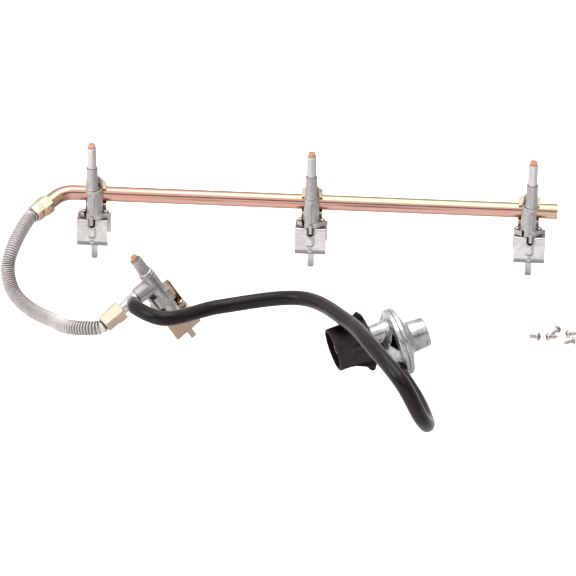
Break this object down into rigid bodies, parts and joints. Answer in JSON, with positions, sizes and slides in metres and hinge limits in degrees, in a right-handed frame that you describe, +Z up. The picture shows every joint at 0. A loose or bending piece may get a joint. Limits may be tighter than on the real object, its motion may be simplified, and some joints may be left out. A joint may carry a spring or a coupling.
{
  "type": "gas manifold and valve assembly",
  "caption": "Gas manifold tube with upright push-and-turn burner valves on folded brackets, a corrugated feed hose, a side valve, a rubber supply hose and a pressure regulator with a hand nut.",
  "frame": {"origin": "centre of the underside of the whole assembly's bounding box, on the floor it rests on", "axes": "+X along the manifold tube towards its closed end, +Y from the supply hose and regulator towards the manifold, +Z up along the burner valves' stems"},
  "size_m": [0.5994, 0.3764, 0.141],
  "materials": {
    "plated_tube": "yellow and pink zinc plated steel tube, satin",
    "gold_plate": "yellow zinc plated steel, satin",
    "casting": "tumbled die casting with faint flow marks, matte",
    "zinc_plate": "clear zinc plated sheet, satin",
    "brass": "turned brass",
    "bright_plate": "bright nickel plate",
    "spring_steel": "plated steel wire and screws",
    "stainless": "corrugated stainless tube, bright",
    "rubber": "black extruded rubber, semi-matte",
    "plastic": "black moulded plastic, fine grain"
  },
  "bodies": {
    "manifold": {"valve1_body": "casting", "valve1_bonnet": "casting", "valve1_nozzle": "brass", "valve1_strap": "gold_plate", "valve1_strap_screw": "spring_steel", "valve1_bracket": "zinc_plate", "valve1_bracket_screw_left": "spring_steel", "valve1_bracket_screw_right": "spring_steel", "valve2_body": "casting", "valve2_bonnet": "casting", "valve2_nozzle": "brass", "valve2_strap": "gold_plate", "valve2_strap_screw": "spring_steel", "valve2_bracket": "zinc_plate", "valve2_bracket_screw_left": "spring_steel", "valve2_bracket_screw_right": "spring_steel", "valve3_body": "casting", "valve3_bonnet": "casting", "valve3_nozzle": "brass", "valve3_strap": "gold_plate", "valve3_strap_screw": "spring_steel", "valve3_bracket": "zinc_plate", "valve3_bracket_screw_left": "spring_steel", "valve3_bracket_screw_right": "spring_steel", "manifold_tube": "plated_tube", "side_valve_body": "casting", "side_valve_bonnet": "casting", "side_valve_nozzle": "brass", "side_valve_bracket": "gold_plate", "side_valve_bracket_screw": "gold_plate", "tee_fitting": "bright_plate", "flex_hose": "stainless", "flex_nut_manifold": "gold_plate", "flex_nut_side": "gold_plate", "regulator_body": "casting", "regulator_cover": "casting", "regulator_diaphragm": "rubber", "regulator_spring": "spring_steel", "regulator_cap": "casting", "inlet_nipple": "brass", "supply_hose": "rubber", "hose_ferrule": "bright_plate", "panel_screw1": "spring_steel", "panel_screw2": "spring_steel", "panel_screw3": "spring_steel", "panel_screw4": "spring_steel", "panel_screw5": "spring_steel"},
    "valve1_rotor": {"valve1_plug": "brass", "valve1_spring": "spring_steel"},
    "valve1_spindle": {"valve1_stem": "brass"},
    "valve2_rotor": {"valve2_plug": "brass", "valve2_spring": "spring_steel"},
    "valve2_spindle": {"valve2_stem": "brass"},
    "valve3_rotor": {"valve3_plug": "brass", "valve3_spring": "spring_steel"},
    "valve3_spindle": {"valve3_stem": "brass"},
    "side_valve_rotor": {"side_valve_plug": "brass"},
    "side_valve_spindle": {"side_valve_stem": "brass", "side_valve_spring": "spring_steel"},
    "hand_nut": {"coupling_nut": "plastic"}
  },
  "joints": [
    {"name": "valve1_turn", "type": "hinge", "parent": "manifold", "child": "valve1_rotor", "pos_m": [-0.21191, 0.16207, 0.0818], "axis": [0, 0, 1], "range_deg": [0, 180]},
    {"name": "valve1_push", "type": "slide", "parent": "valve1_rotor", "child": "valve1_spindle", "axis": [0, 0, -1], "range_m": [0, 0.003], "deforming": ["valve1_spring"]},
    {"name": "valve2_turn", "type": "hinge", "parent": "manifold", "child": "valve2_rotor", "pos_m": [0.01809, 0.16207, 0.0818], "axis": [0, 0, 1], "range_deg": [0, 180]},
    {"name": "valve2_push", "type": "slide", "parent": "valve2_rotor", "child": "valve2_spindle", "axis": [0, 0, -1], "range_m": [0, 0.003], "deforming": ["valve2_spring"]},
    {"name": "valve3_turn", "type": "hinge", "parent": "manifold", "child": "valve3_rotor", "pos_m": [0.24809, 0.16207, 0.0818], "axis": [0, 0, 1], "range_deg": [0, 180]},
    {"name": "valve3_push", "type": "slide", "parent": "valve3_rotor", "child": "valve3_spindle", "axis": [0, 0, -1], "range_m": [0, 0.003], "deforming": ["valve3_spring"]},
    {"name": "side_valve_turn", "type": "hinge", "parent": "manifold", "child": "side_valve_rotor", "pos_m": [-0.12644, 0.00471, 0.05755], "axis": [-0.4611, -0.2255, 0.8582], "range_deg": [0, 180]},
    {"name": "side_valve_push", "type": "slide", "parent": "side_valve_rotor", "child": "side_valve_spindle", "axis": [0.4611, 0.2255, -0.8582], "range_m": [0, 0.003]},
    {"name": "hand_nut_turn", "type": "hinge", "parent": "manifold", "child": "hand_nut", "pos_m": [0.06784, -0.05426, 0.04052], "axis": [0.9097, 0.3492, 0.225], "continuous": true}
  ]
}
